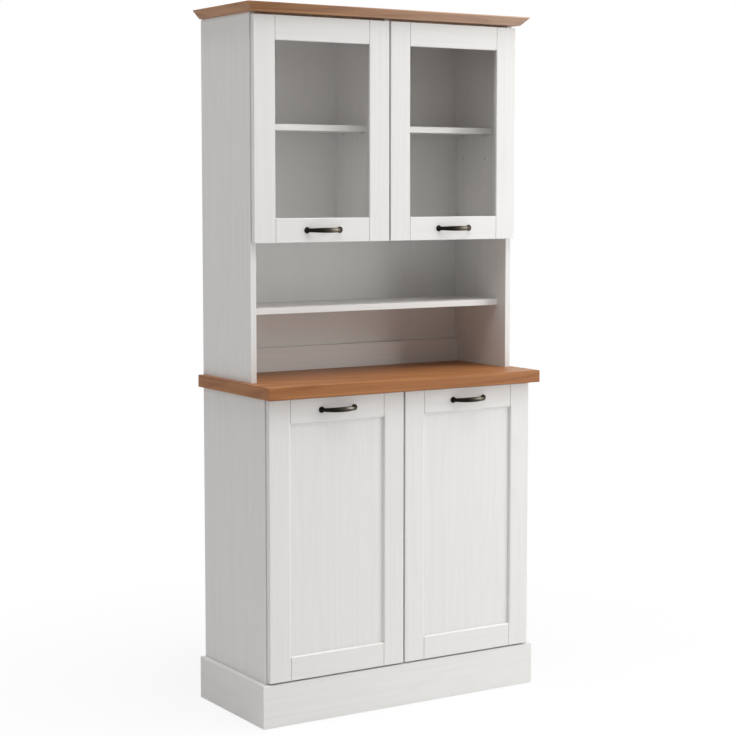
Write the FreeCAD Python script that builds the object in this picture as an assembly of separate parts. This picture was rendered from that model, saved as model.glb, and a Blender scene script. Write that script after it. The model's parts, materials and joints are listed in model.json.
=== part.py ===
import FreeCAD
import Part
import math
import os

from FreeCAD import Vector

# A step back cupboard: a panelled two-door base, a worktop that steps forward of it, and a
# shallower hutch with an open niche below two glazed doors. All lengths are millimetres.
# X runs left to right, the front faces -Y, Z is up and the origin is on the floor, at the
# middle of the footprint box. A depth d is counted forward from the plane of the back edges.

# Carcass
carcass_width = 800.0
board = 16.0
base_depth = 332.0
base_height = 828.0
hutch_depth = 262.0
hutch_height = 918.0
back_panel_thickness = 4.0
back_panel_inset = 18.0
back_groove_depth = 6.0
back_groove_clearance = 0.6

# Plinth, feet and supports under the base
glide_height = 2.0
glide_radius = 7.0
glide_end_margin = 30.0
plinth_height = 109.5
plinth_board = 16.0
plinth_reveal = 4.5

# Worktop
worktop_thickness = 32.0
worktop_side_overhang = 15.0
worktop_front_overhang = 27.5
worktop_ease = 2.0

# Cornice: a board whose three free edges flare outwards to an upright lip
cornice_thickness = 22.0
cornice_lip = 3.0
cornice_foot = 8.0
cornice_flare = 18.0
cornice_back_inset = 8.0

# Open niche and shelves
niche_height = 350.0
niche_shelf_height = 168.0
niche_shelf_setback = 38.0
niche_rail_height = 64.0
fixing_rail_height = 40.0
fixing_hole_radius = 3.0
fixing_hole_share = 0.78
cabinet_shelf_height = 266.0
cabinet_shelf_setback = 65.0
base_shelf_height = 330.0
base_shelf_setback = 30.0
shelf_clearance = 1.0
pin_rear_setback = 38.0
pin_front_setback = 37.0
pin_pitch = 64.0
shelf_pin_radius = 2.5
shelf_pin_length = 15.0
shelf_pin_grip = 8.0

# Doors
door_thickness = 16.0
stile_width = 60.0
rail_width = 61.0
door_side_reveal = 2.0
door_pair_gap = 4.0
worktop_reveal = 4.0
cornice_reveal = 6.0
door_ease = 1.0
panel_chamfer = 3.0
glass_chamfer = 1.4
infill_setback = 7.0
infill_depth = 8.0
infill_clearance = 1.0
panel_thickness = 5.0
glass_thickness = 4.0
tenon_shoulder = 12.0
tenon_length = 8.0
tenon_thickness = 5.0

# Concealed single-pivot hinges
cup_radius = 17.5
cup_edge_distance = 3.0
cup_depth = 12.6
cup_wall = 0.6
cup_flange = 1.2
cup_screw_spacing = 45.0
cup_screw_offset = 9.5
flange_bar_width = 13.0
hinge_floor_clearance = 4.0
hinge_pin_radius = 1.0
hinge_pin_clearance = 0.05
hinge_pin_end_margin = 1.0
hinge_eye_wall = 0.75
hinge_eye_gap = 0.5
hinge_arm_width = 11.0
hinge_arm_thickness = 2.0
hinge_arm_clearance = 1.3
hinge_arm_side_gap = 0.5
hinge_swing_clearance = 0.3
plate_length = 50.0
plate_front_setback = 8.0
plate_strip_width = 16.0
plate_wing_width = 14.0
plate_wing_height = 44.0
plate_screw_line = 37.0
plate_screw_spacing = 32.0

# Bow handles
handle_span = 96.0
handle_rise = 24.0
handle_mid_half_height = 6.4
handle_end_half_height = 4.6
handle_half_thickness = 3.0
rosette_radius = 8.0
rosette_thickness = 5.0
rosette_ease = 2.0
handle_stations = 13

# Fasteners
dowel_radius = 4.0
dowel_in_face = 10.0
dowel_in_edge = 20.0
dowel_end_gap = 0.5
cam_radius = 7.5
cam_height = 12.5
cam_distance = 24.0
cam_bolt_radius = 3.0
cam_bolt_grip = 10.0
cam_bolt_clearance = 0.2
screw_radius = 1.75
screw_head_radius = 3.5
screw_head_height = 2.0
screw_grip = 12.0
rail_screw_grip = 28.0
bumper_radius = 2.8
bumper_gap = 0.3
overrun = 1.0

# Places of fasteners along the boards that they join
mid_share = 0.5
pair_shares = (0.22, 0.78)
cam_pair_shares = (0.36, 0.64)
rail_screw_shares = (0.32, 0.75)
bumper_shares = (0.08, 0.92)

# Places worked out from the sizes above
half_width = carcass_width / 2
inside_half = half_width - board
half_board = board / 2
back_panel_front = back_panel_inset + back_panel_thickness
plinth_top = glide_height + plinth_height
base_floor_bottom = plinth_top + plinth_reveal
base_floor_top = base_floor_bottom + board
worktop_bottom = glide_height + base_height
worktop_top = worktop_bottom + worktop_thickness
niche_shelf_bottom = worktop_top + niche_shelf_height
hutch_floor_bottom = worktop_top + niche_height
hutch_floor_top = hutch_floor_bottom + board
cornice_bottom = worktop_top + hutch_height
cabinet_shelf_bottom = hutch_floor_top + cabinet_shelf_height
base_shelf_bottom = base_floor_top + base_shelf_height
rail_front = back_panel_front + board

# Hinge pivot, measured from the door's outer edge and from its inner face
eye_radius = hinge_pin_radius + hinge_pin_clearance + hinge_eye_wall
pocket_half_width = hinge_arm_width / 2 + hinge_arm_side_gap
cup_centre = cup_edge_distance + cup_radius
pocket_start = cup_centre - math.sqrt((cup_radius - cup_wall) ** 2 - pocket_half_width ** 2)
pivot_inset = pocket_start + hinge_eye_gap + eye_radius
pivot_depth = cup_depth - cup_wall - hinge_eye_gap - eye_radius
door_gap = math.hypot(pivot_inset, pivot_depth) - pivot_depth + hinge_swing_clearance
arm_face = pivot_inset + pivot_depth + cup_flange + hinge_arm_clearance
plate_thickness = arm_face - (board - door_side_reveal)
hinge_end_distance = board + hinge_floor_clearance + screw_head_radius + cup_screw_spacing / 2

# Door faces and the depth of what stands over them
base_door_front = base_depth + door_gap + door_thickness
hutch_door_front = hutch_depth + door_gap + door_thickness
worktop_depth = base_door_front + worktop_front_overhang
back_y = worktop_depth / 2
door_outer = half_width - door_side_reveal
door_inner = door_pair_gap / 2

X_AXIS = Vector(1, 0, 0)
FORWARD = Vector(0, -1, 0)
UP = Vector(0, 0, 1)


def at(x, depth, z):
    """Point at a depth forward of the back plane."""
    return Vector(x, back_y - depth, z)


def block(x0, x1, depth0, depth1, z0, z1):
    """Box between two values of x, depth and height."""
    return Part.makeBox(x1 - x0, depth1 - depth0, z1 - z0, at(x0, depth1, z0))


def prism(outline, z0, z1):
    """Upright solid over an outline of (x, depth) corners."""
    corners = [at(x, depth, z0) for x, depth in outline]
    face = Part.Face(Part.makePolygon(corners + corners[:1]))
    return face.extrude(UP * (z1 - z0))


def rod(start, direction, length, radius):
    return Part.makeCylinder(radius, length, start, direction)


def mirrored(shape):
    """The same shape on the right-hand side."""
    return shape.mirror(Vector(0, 0, 0), X_AXIS)


def share_of(low, high, share):
    return low + (high - low) * share


def ease_front(shape, front_depth, radius):
    """Round the edges that bound the face at a given depth."""
    front = at(0, front_depth, 0).y
    edges = [e for e in shape.Edges if all(abs(v.Y - front) < radius / 2 for v in e.Vertexes)]
    return shape.makeFillet(radius, edges)


def flared_opening(x0, x1, z0, z1, front_depth, flare):
    """Tool that widens a door's opening towards its front face, with mitred corners."""
    wires = []
    for depth, wider in ((front_depth - flare, 0.0), (front_depth + overrun, flare + overrun)):
        left, right = x0 - wider, x1 + wider
        low, high = z0 - wider, z1 + wider
        corners = [(left, low), (right, low), (right, high), (left, high), (left, low)]
        wires.append(Part.makePolygon([at(x, depth, z) for x, z in corners]))
    return Part.makeLoft(wires, True, True)


def screw(seat, direction, length):
    """Pan-head screw: the head stands behind its seat, the shank runs along the direction."""
    head = rod(seat, direction * -1, screw_head_height, screw_head_radius)
    return head.fuse(rod(seat, direction, length, screw_radius)).removeSplitter()


# Boards of the fixed carcass by name, the holes to bore in each, and its small hardware
boards = {}
bores = {}
dowels = []
cams = []
screws = []


def bore(names, tool):
    for name in names:
        bores.setdefault(name, []).append(tool)


def add_dowel(face_board, edge_board, point, direction):
    """Dowel across a joint: the direction points from the face board into the edge board."""
    start = point - direction * dowel_in_face
    dowels.append(rod(start, direction, dowel_in_face + dowel_in_edge, dowel_radius))
    hole_start = start - direction * dowel_end_gap
    hole_length = dowel_in_face + dowel_in_edge + dowel_end_gap * 2
    bore((face_board, edge_board), rod(hole_start, direction, hole_length, dowel_radius))


def add_cam(face_board, edge_board, point, direction, cam_side):
    """Cam and bolt: the cam is let into the edge board from the face on the cam side."""
    start = point - direction * cam_bolt_grip
    bolt = rod(start, direction, cam_bolt_grip + cam_distance, cam_bolt_radius)
    mouth = point + direction * cam_distance + cam_side * half_board
    cam = rod(mouth, cam_side * -1, cam_height, cam_radius)
    slot = rod(point, direction, cam_distance + cam_bolt_clearance, cam_bolt_radius + cam_bolt_clearance)
    cams.append(cam.cut(slot))
    cams.append(bolt)
    bore((face_board, edge_board), bolt)
    bore((edge_board,), cam)


def add_end_joints(name, face_board, x, direction, depth0, depth1, z, cam_side):
    """Two dowels and two cams where a level board meets a side board."""
    for share in pair_shares:
        add_dowel(face_board, name, at(x, share_of(depth0, depth1, share), z), direction)
    for share in cam_pair_shares:
        add_cam(face_board, name, at(x, share_of(depth0, depth1, share), z), direction, cam_side)


def add_upright_joints(face_board, name, x, depth0, depth1, z, direction):
    """Two dowels where the end of an upright board meets a level one."""
    for share in pair_shares:
        add_dowel(face_board, name, at(x, share_of(depth0, depth1, share), z), direction)


def back_groove(z0, z1):
    """Groove in the left side board that takes the edge of a back panel."""
    return block(-inside_half - back_groove_depth, -inside_half, back_panel_inset, back_panel_front, z0, z1)


def make_base():
    side = block(-half_width, -inside_half, 0, base_depth, glide_height, worktop_bottom)
    side = side.cut(back_groove(base_floor_bottom, worktop_bottom))
    boards["base_side_left"] = side
    boards["base_side_right"] = mirrored(side)
    panel_half = inside_half + back_groove_depth - back_groove_clearance
    boards["base_floor"] = block(
        -inside_half, inside_half, back_panel_front, base_depth, base_floor_bottom, base_floor_top
    )
    boards["base_partition"] = block(
        -half_board, half_board, back_panel_front, base_depth, base_floor_top, worktop_bottom
    )
    boards["base_back_panel"] = block(
        -panel_half, panel_half, back_panel_inset, back_panel_front, base_floor_bottom, worktop_bottom
    )
    boards["plinth_rear_rail"] = block(
        -inside_half, inside_half, back_panel_front, rail_front, glide_height, base_floor_bottom
    )
    boards["floor_bearer"] = block(
        -half_board, half_board, rail_front, base_depth, glide_height, base_floor_bottom
    )
    plinth_half = half_width + plinth_board
    plinth_front = base_depth + plinth_board
    outline = [(-half_width, 0), (-plinth_half, 0), (-plinth_half, plinth_front), (-half_width, base_depth)]
    skirt = prism(outline, glide_height, plinth_top)
    boards["plinth_side_left"] = skirt
    boards["plinth_side_right"] = mirrored(skirt)
    outline = [
        (-half_width, base_depth),
        (-plinth_half, plinth_front),
        (plinth_half, plinth_front),
        (half_width, base_depth),
    ]
    boards["plinth_front"] = prism(outline, glide_height, plinth_top)
    top = block(
        -half_width - worktop_side_overhang,
        half_width + worktop_side_overhang,
        0,
        worktop_depth,
        worktop_bottom,
        worktop_top,
    )
    free_edges = [e for e in top.Edges if not all(abs(v.Y - back_y) < worktop_ease for v in e.Vertexes)]
    boards["worktop"] = top.makeFillet(worktop_ease, free_edges)


def make_hutch():
    side = block(-half_width, -inside_half, 0, hutch_depth, worktop_top, cornice_bottom)
    side = side.cut(back_groove(worktop_top, cornice_bottom))
    boards["hutch_side_left"] = side
    boards["hutch_side_right"] = mirrored(side)
    panel_half = inside_half + back_groove_depth - back_groove_clearance
    boards["hutch_back_panel"] = block(
        -panel_half, panel_half, back_panel_inset, back_panel_front, worktop_top, cornice_bottom
    )
    rail_top = worktop_top + niche_rail_height
    boards["niche_back_rail"] = block(
        -inside_half, inside_half, back_panel_front, rail_front, worktop_top, rail_top
    )
    boards["niche_shelf"] = block(
        -inside_half,
        inside_half,
        back_panel_front,
        hutch_depth - niche_shelf_setback,
        niche_shelf_bottom,
        niche_shelf_bottom + board,
    )
    boards["hutch_floor"] = block(
        -inside_half, inside_half, back_panel_front, hutch_depth, hutch_floor_bottom, hutch_floor_top
    )
    boards["hutch_partition"] = block(
        -half_board, half_board, back_panel_front, hutch_depth, hutch_floor_top, cornice_bottom
    )
    rail_bottom = cornice_bottom - fixing_rail_height
    rail = block(-inside_half, -half_board, back_panel_front, rail_front, rail_bottom, cornice_bottom)
    boards["hutch_fixing_rails"] = Part.makeCompound([rail, mirrored(rail)])
    boards["cornice"] = make_cornice()


def make_cornice():
    """Flared board: a ruled solid between the foot and the lip, with the upright lip above."""

    def outline(overhang, z):
        half = half_width + overhang
        front = hutch_door_front + overhang
        corners = [
            at(-half, cornice_back_inset, z),
            at(half, cornice_back_inset, z),
            at(half, front, z),
            at(-half, front, z),
        ]
        return Part.makePolygon(corners + corners[:1])

    lip_bottom = cornice_bottom + cornice_thickness - cornice_lip
    wide = cornice_foot + cornice_flare
    flare = Part.makeLoft([outline(cornice_foot, cornice_bottom), outline(wide, lip_bottom)], True, True)
    lip = Part.Face(outline(wide, lip_bottom)).extrude(UP * cornice_lip)
    return flare.fuse(lip).removeSplitter()


def make_shelves():
    """Loose shelves, the pins that carry them and the rows of pin holes."""
    outer = inside_half - shelf_clearance
    inner = half_board + shelf_clearance
    rear = back_panel_front + shelf_clearance
    pins = []
    rows = (
        ("hutch", cabinet_shelf_bottom, hutch_depth - cabinet_shelf_setback),
        ("base", base_shelf_bottom, base_depth - base_shelf_setback),
    )
    for section, bottom, front in rows:
        shelf = block(-outer, -inner, rear, front, bottom, bottom + board)
        boards[section + "_shelf_left"] = shelf
        boards[section + "_shelf_right"] = mirrored(shelf)
        partition = section + "_partition"
        for depth in (back_panel_front + pin_rear_setback, front - pin_front_setback):
            z = bottom - shelf_pin_radius
            for step in (-1, 0, 1):
                level = z + step * pin_pitch
                mouth = at(-inside_half, depth, level)
                outer_hole = rod(mouth, X_AXIS * -1, shelf_pin_grip, shelf_pin_radius)
                bore((section + "_side_left",), outer_hole)
                bore((section + "_side_right",), mirrored(outer_hole))
            inner_hole = rod(at(-half_board, depth, z), X_AXIS, half_board, shelf_pin_radius)
            bore((partition,), inner_hole.fuse(mirrored(inner_hole)))
            outer_pin = rod(
                at(-inside_half - shelf_pin_grip, depth, z), X_AXIS, shelf_pin_length, shelf_pin_radius
            )
            inner_pin = rod(at(0, depth, z), X_AXIS * -1, shelf_pin_length, shelf_pin_radius)
            pins += [outer_pin, mirrored(outer_pin), inner_pin, mirrored(inner_pin)]
    return Part.makeCompound(pins)


def make_joinery():
    """Dowels, cams and screws that hold the fixed boards together."""
    floor_mid = base_floor_bottom + half_board
    hutch_floor_mid = hutch_floor_bottom + half_board
    niche_mid = niche_shelf_bottom + half_board
    niche_front = hutch_depth - niche_shelf_setback
    rail_mid = back_panel_front + half_board
    plinth_mid = share_of(glide_height, plinth_top, mid_share)
    down = UP * -1
    for side, sign in (("left", 1), ("right", -1)):
        inward = X_AXIS * sign
        joint_x = -inside_half * sign
        side_x = -(half_width - half_board) * sign
        base_side = "base_side_" + side
        hutch_side = "hutch_side_" + side
        add_end_joints(
            "base_floor", base_side, joint_x, inward, back_panel_front, base_depth, floor_mid, down
        )
        add_end_joints(
            "hutch_floor", hutch_side, joint_x, inward, back_panel_front, hutch_depth, hutch_floor_mid, down
        )
        add_end_joints(
            "niche_shelf", hutch_side, joint_x, inward, back_panel_front, niche_front, niche_mid, down
        )
        add_dowel(base_side, "plinth_rear_rail", at(joint_x, rail_mid, plinth_mid), inward)
        rail_z = share_of(worktop_top, worktop_top + niche_rail_height, pair_shares[0])
        add_dowel(hutch_side, "niche_back_rail", at(joint_x, rail_mid, rail_z), inward)
        rail_z = share_of(worktop_top, worktop_top + niche_rail_height, cam_pair_shares[1])
        add_cam(hutch_side, "niche_back_rail", at(joint_x, rail_mid, rail_z), inward, FORWARD * -1)
        rail_z = cornice_bottom - fixing_rail_height / 2
        add_dowel(hutch_side, "hutch_fixing_rails", at(joint_x, rail_mid, rail_z), inward)
        add_upright_joints("worktop", base_side, side_x, 0, base_depth, worktop_bottom, down)
        add_upright_joints("worktop", hutch_side, side_x, 0, hutch_depth, worktop_top, UP)
        add_upright_joints("cornice", hutch_side, side_x, 0, hutch_depth, cornice_bottom, down)
        for share in cam_pair_shares:
            add_cam("worktop", base_side, at(side_x, base_depth * share, worktop_bottom), down, inward)
            add_cam("cornice", hutch_side, at(side_x, hutch_depth * share, cornice_bottom), down, inward)
        for share in pair_shares:
            plinth_z = share_of(glide_height, plinth_top, share)
            add_dowel("plinth_front", base_side, at(side_x, base_depth, plinth_z), FORWARD * -1)
            seat = at(joint_x, base_depth * share, plinth_mid)
            plinth_screw = screw(seat, inward * -1, board + screw_grip)
            screws.append(plinth_screw)
            bore((base_side, "plinth_side_" + side), plinth_screw)
    rear = back_panel_front
    add_upright_joints("base_floor", "base_partition", 0, rear, base_depth, base_floor_top, UP)
    add_upright_joints("worktop", "base_partition", 0, rear, base_depth, worktop_bottom, down)
    add_upright_joints("base_floor", "floor_bearer", 0, rail_front, base_depth, base_floor_bottom, down)
    add_upright_joints("hutch_floor", "hutch_partition", 0, rear, hutch_depth, hutch_floor_top, UP)
    add_upright_joints("cornice", "hutch_partition", 0, rear, hutch_depth, cornice_bottom, down)
    add_dowel("plinth_front", "floor_bearer", at(0, base_depth, plinth_mid), FORWARD * -1)
    for share in rail_screw_shares:
        for sign in (-1, 1):
            seat = at(inside_half * share * sign, rail_mid, worktop_bottom)
            rail_screw = screw(seat, UP, worktop_thickness + rail_screw_grip)
            screws.append(rail_screw)
            bore(("worktop", "niche_back_rail"), rail_screw)
    hole_z = cornice_bottom - fixing_rail_height / 2
    for sign in (-1, 1):
        start = at(inside_half * fixing_hole_share * sign, rail_front + overrun, hole_z)
        hole = rod(start, FORWARD * -1, rail_front - back_panel_inset + overrun * 2, fixing_hole_radius)
        bore(("hutch_fixing_rails", "hutch_back_panel"), hole)


def make_glides():
    """Nail-on glides under the side boards and the bearer."""
    places = []
    for depth in (glide_end_margin, base_depth - glide_end_margin):
        places += [(-half_width + half_board, depth), (half_width - half_board, depth)]
    for depth in (rail_front + glide_end_margin, base_depth - glide_end_margin):
        places.append((0, depth))
    return Part.makeCompound([rod(at(x, depth, 0), UP, glide_height, glide_radius) for x, depth in places])


def make_bumpers():
    """Soft pads on the partitions' front edges, just clear of the closed doors."""
    pads = []
    rows = (
        (base_depth, base_floor_bottom, worktop_bottom - worktop_reveal),
        (hutch_depth, hutch_floor_bottom, cornice_bottom - cornice_reveal),
    )
    x = door_inner + (half_board - door_inner) / 2
    for depth, bottom, top in rows:
        for share in bumper_shares:
            foot = at(-x, depth, share_of(bottom, top, share))
            pad = rod(foot, FORWARD, door_gap - bumper_gap, bumper_radius)
            pads += [pad, mirrored(pad)]
    return Part.makeCompound(pads)


def make_hinge_arm(front_depth, z):
    """Bent arm of a left-hand hinge: an eye on the pin, a leg across the cup and a leg along the plate."""
    inner_face = front_depth + door_gap
    pivot_x = -door_outer + pivot_inset
    pivot = inner_face + pivot_depth
    arm_x = -door_outer + arm_face
    half_thick = hinge_arm_thickness / 2
    low = z - hinge_arm_width / 2
    high = z + hinge_arm_width / 2
    eye = rod(at(pivot_x, pivot, low), UP, hinge_arm_width, eye_radius)
    arm_end = arm_x + hinge_arm_thickness
    cross_leg = block(pivot_x, arm_end, pivot - half_thick, pivot + half_thick, low, high)
    rear = front_depth - plate_front_setback - plate_length
    long_leg = block(arm_x, arm_end, rear, pivot + half_thick, low, high)
    way = rod(at(pivot_x, pivot, low), UP, hinge_arm_width, hinge_pin_radius + hinge_pin_clearance)
    return eye.fuse([cross_leg, long_leg]).removeSplitter().cut(way)


def make_hinge_plate(front_depth, z):
    """Cross-shaped mounting plate on the inner face of the left side board."""
    x0 = -inside_half
    x1 = x0 + plate_thickness
    front = front_depth - plate_front_setback
    wing = front_depth - plate_screw_line
    half_wing = plate_wing_width / 2
    strip_rise = plate_strip_width / 2
    wing_rise = plate_wing_height / 2
    strip = block(x0, x1, front - plate_length, front, z - strip_rise, z + strip_rise)
    cross = block(x0, x1, wing - half_wing, wing + half_wing, z - wing_rise, z + wing_rise)
    return strip.fuse(cross).removeSplitter()


def make_hinges(section, front_depth, door_bottom, door_top):
    """Arms and plates for one pair of doors, with the plates' screws."""
    arms = []
    plates = []
    for z in (door_bottom + hinge_end_distance, door_top - hinge_end_distance):
        arm = make_hinge_arm(front_depth, z)
        plate = make_hinge_plate(front_depth, z)
        for offset in (-plate_screw_spacing / 2, plate_screw_spacing / 2):
            seat = at(-inside_half + plate_thickness, front_depth - plate_screw_line, z + offset)
            plate_screw = screw(seat, X_AXIS * -1, plate_thickness + screw_grip)
            plate = plate.cut(plate_screw)
            screws.extend([plate_screw, mirrored(plate_screw)])
            bore((section + "_side_left",), plate_screw)
            bore((section + "_side_right",), mirrored(plate_screw))
        arms += [arm, mirrored(arm)]
        plates += [plate, mirrored(plate)]
    return arms, plates


def make_hinge_cup(inner_face, z):
    """Hinge cup let into the outer stile, with its flange, its slot for the arm and its pin."""
    pivot_x = -door_outer + pivot_inset
    centre_x = -door_outer + cup_centre
    screw_x = centre_x + cup_screw_offset
    bar_half = cup_screw_spacing / 2 + flange_bar_width / 2
    body = rod(at(centre_x, inner_face - cup_flange, z), FORWARD, cup_depth + cup_flange, cup_radius)
    bar = block(
        screw_x - flange_bar_width / 2,
        screw_x + flange_bar_width / 2,
        inner_face - cup_flange,
        inner_face,
        z - bar_half,
        z + bar_half,
    )
    pocket = block(
        -door_outer + pocket_start,
        -door_outer + arm_face + hinge_arm_thickness + hinge_arm_clearance,
        inner_face - cup_flange,
        inner_face + cup_depth - cup_wall,
        z - pocket_half_width,
        z + pocket_half_width,
    )
    wall_reach = math.sqrt(cup_radius ** 2 - (cup_centre - pivot_inset + hinge_pin_radius) ** 2)
    reach = wall_reach - hinge_pin_end_margin
    pivot = at(pivot_x, inner_face + pivot_depth, z - reach)
    pin = rod(pivot, UP, reach * 2, hinge_pin_radius)
    cup = body.fuse(bar).removeSplitter().cut([pocket, pin])
    cup_screws = []
    for offset in (-cup_screw_spacing / 2, cup_screw_spacing / 2):
        seat = at(screw_x, inner_face - cup_flange, z + offset)
        cup_screws.append(screw(seat, FORWARD, screw_grip))
    cup = cup.cut(cup_screws)
    return cup, pin, cup_screws


def make_handle(front_depth, x, z):
    """Bow handle: an elliptical bar that swells in the middle, bent between two round rosettes."""
    half_span = handle_span / 2
    sections = []
    for station in range(handle_stations):
        angle = math.pi * (station / (handle_stations - 1) - 1 / 2)
        centre = at(x + half_span * math.sin(angle), front_depth + handle_rise * math.cos(angle), z)
        tangent = Vector(half_span * math.cos(angle), handle_rise * math.sin(angle), 0).normalize()
        swell = math.cos(angle) ** 2
        half_height = share_of(handle_end_half_height, handle_mid_half_height, swell)
        across = tangent.cross(UP) * handle_half_thickness
        ellipse = Part.Ellipse(centre + UP * half_height, centre + across, centre)
        sections.append(Part.Wire(ellipse.toShape()))
    handle = Part.makeLoft(sections, True)
    for sign in (-1, 1):
        foot = rod(at(x + half_span * sign, front_depth, z), FORWARD, rosette_thickness, rosette_radius)
        rim = [e for e in foot.Edges if all(v.Y < back_y - front_depth - rosette_ease for v in e.Vertexes)]
        handle = handle.fuse(foot.makeFillet(rosette_ease, rim))
    return handle.removeSplitter()


def make_door(prefix, front_depth, bottom, top, glazed):
    """Left-hand door by sub-part: stiles, rails, infill, handle, hinge cups with pins, and screws."""
    inner_face = front_depth + door_gap
    face = inner_face + door_thickness
    opening_left = -door_outer + stile_width
    opening_right = -door_inner - stile_width
    opening_bottom = bottom + rail_width
    opening_top = top - rail_width
    infill_front = face - infill_setback
    infill_thickness = glass_thickness if glazed else panel_thickness
    infill_back = infill_front - infill_thickness
    cut_back = inner_face if glazed else infill_back
    channel = block(
        opening_left - infill_depth,
        opening_right + infill_depth,
        cut_back,
        infill_front,
        opening_bottom - infill_depth,
        opening_top + infill_depth,
    )
    chamfer = glass_chamfer if glazed else panel_chamfer
    flare = flared_opening(opening_left, opening_right, opening_bottom, opening_top, face, chamfer)
    tenon_front = inner_face + (door_thickness + tenon_thickness) / 2
    tenons = [
        block(
            opening_left - tenon_length,
            opening_right + tenon_length,
            tenon_front - tenon_thickness,
            tenon_front,
            low + tenon_shoulder,
            low + rail_width - tenon_shoulder,
        )
        for low in (bottom, opening_top)
    ]
    cups = []
    pins = []
    door_screws = []
    for z in (bottom + hinge_end_distance, top - hinge_end_distance):
        cup, pin, cup_screws = make_hinge_cup(inner_face, z)
        cups.append(cup)
        pins.append(pin)
        door_screws += cup_screws
    outer_stile = block(-door_outer, opening_left, inner_face, face, bottom, top)
    inner_stile = block(opening_right, -door_inner, inner_face, face, bottom, top)
    cup_bores = [
        rod(at(-door_outer + cup_centre, inner_face, z), FORWARD, cup_depth, cup_radius)
        for z in (bottom + hinge_end_distance, top - hinge_end_distance)
    ]
    outer_stile = ease_front(outer_stile, face, door_ease)
    outer_stile = outer_stile.cut([channel, flare] + tenons + cup_bores + door_screws)
    inner_stile = ease_front(inner_stile, face, door_ease).cut([channel, flare] + tenons)
    handle_x = (opening_left + opening_right) / 2
    handle_low = bottom if glazed else opening_top
    handle_z = handle_low + rail_width / 2
    handle = make_handle(face, handle_x, handle_z)
    handle_screws = []
    for sign in (-1, 1):
        seat = at(handle_x + handle_span / 2 * sign, inner_face, handle_z)
        handle_screws.append(screw(seat, FORWARD, door_thickness + rosette_thickness))
    handle = handle.cut(handle_screws)
    rails = []
    for low, tenon in zip((bottom, opening_top), tenons):
        rail = block(opening_left, opening_right, inner_face, face, low, low + rail_width)
        rail = ease_front(rail, face, door_ease).cut([channel, flare]).fuse(tenon).removeSplitter()
        rails.append(rail.cut(handle_screws))
    margin = infill_depth - infill_clearance
    infill = block(
        opening_left - margin,
        opening_right + margin,
        infill_back,
        infill_front,
        opening_bottom - margin,
        opening_top + margin,
    )
    nodes = {
        prefix + "_stiles": [outer_stile, inner_stile],
        prefix + "_rails": rails,
        prefix + "_handle": [handle],
        prefix + "_hinge_cups_and_pins": cups + pins,
        prefix + "_screws": door_screws + handle_screws,
    }
    if glazed:
        nodes[prefix + "_glass"] = [infill]
        nodes[prefix + "_glazing_beads"] = make_beads(
            (opening_left, opening_right), (opening_bottom, opening_top), (inner_face, infill_back)
        )
    else:
        nodes[prefix + "_panel"] = [infill]
    return nodes


def make_beads(x_range, z_range, depth_range):
    """Four strips that fill the rebate behind the glass."""
    x0, x1 = x_range
    z0, z1 = z_range
    wide0 = x0 - infill_depth
    wide1 = x1 + infill_depth
    return [
        block(wide0, wide1, *depth_range, z0 - infill_depth, z0),
        block(wide0, wide1, *depth_range, z1, z1 + infill_depth),
        block(wide0, x0, *depth_range, z0, z1),
        block(x1, wide1, *depth_range, z0, z1),
    ]


def export(name, shape):
    shape.exportStep(os.path.join("parts", name + ".step"))


def main():
    os.makedirs("parts", exist_ok=True)
    make_base()
    make_hutch()
    export("shelf_pins", make_shelves())
    make_joinery()
    arms = []
    plates = []
    base_top = worktop_bottom - worktop_reveal
    hutch_top = cornice_bottom - cornice_reveal
    pairs = (
        ("base", "lower", base_depth, base_floor_bottom, base_top, False),
        ("hutch", "upper", hutch_depth, hutch_floor_bottom, hutch_top, True),
    )
    for section, row, front_depth, bottom, top, glazed in pairs:
        new_arms, new_plates = make_hinges(section, front_depth, bottom, top)
        arms += new_arms
        plates += new_plates
        left = make_door(row + "_left", front_depth, bottom, top, glazed)
        for name, solids in left.items():
            export(name, Part.makeCompound(solids))
            right_name = name.replace("_left", "_right")
            export(right_name, Part.makeCompound([mirrored(solid) for solid in solids]))
    for name, shape in boards.items():
        tools = bores.get(name)
        export(name, shape.cut(tools) if tools else shape)
    export("hinge_arms", Part.makeCompound(arms))
    export("hinge_plates", Part.makeCompound(plates))
    export("carcass_screws", Part.makeCompound(screws))
    export("wood_dowels", Part.makeCompound(dowels))
    export("cam_fittings", Part.makeCompound(cams))
    export("floor_glides", make_glides())
    export("door_bumpers", make_bumpers())


main()
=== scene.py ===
import json
import math
import random

import bmesh
import bpy
from bpy.props import FloatProperty, FloatVectorProperty, IntProperty, PointerProperty
from mathutils import Matrix, Vector


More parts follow.
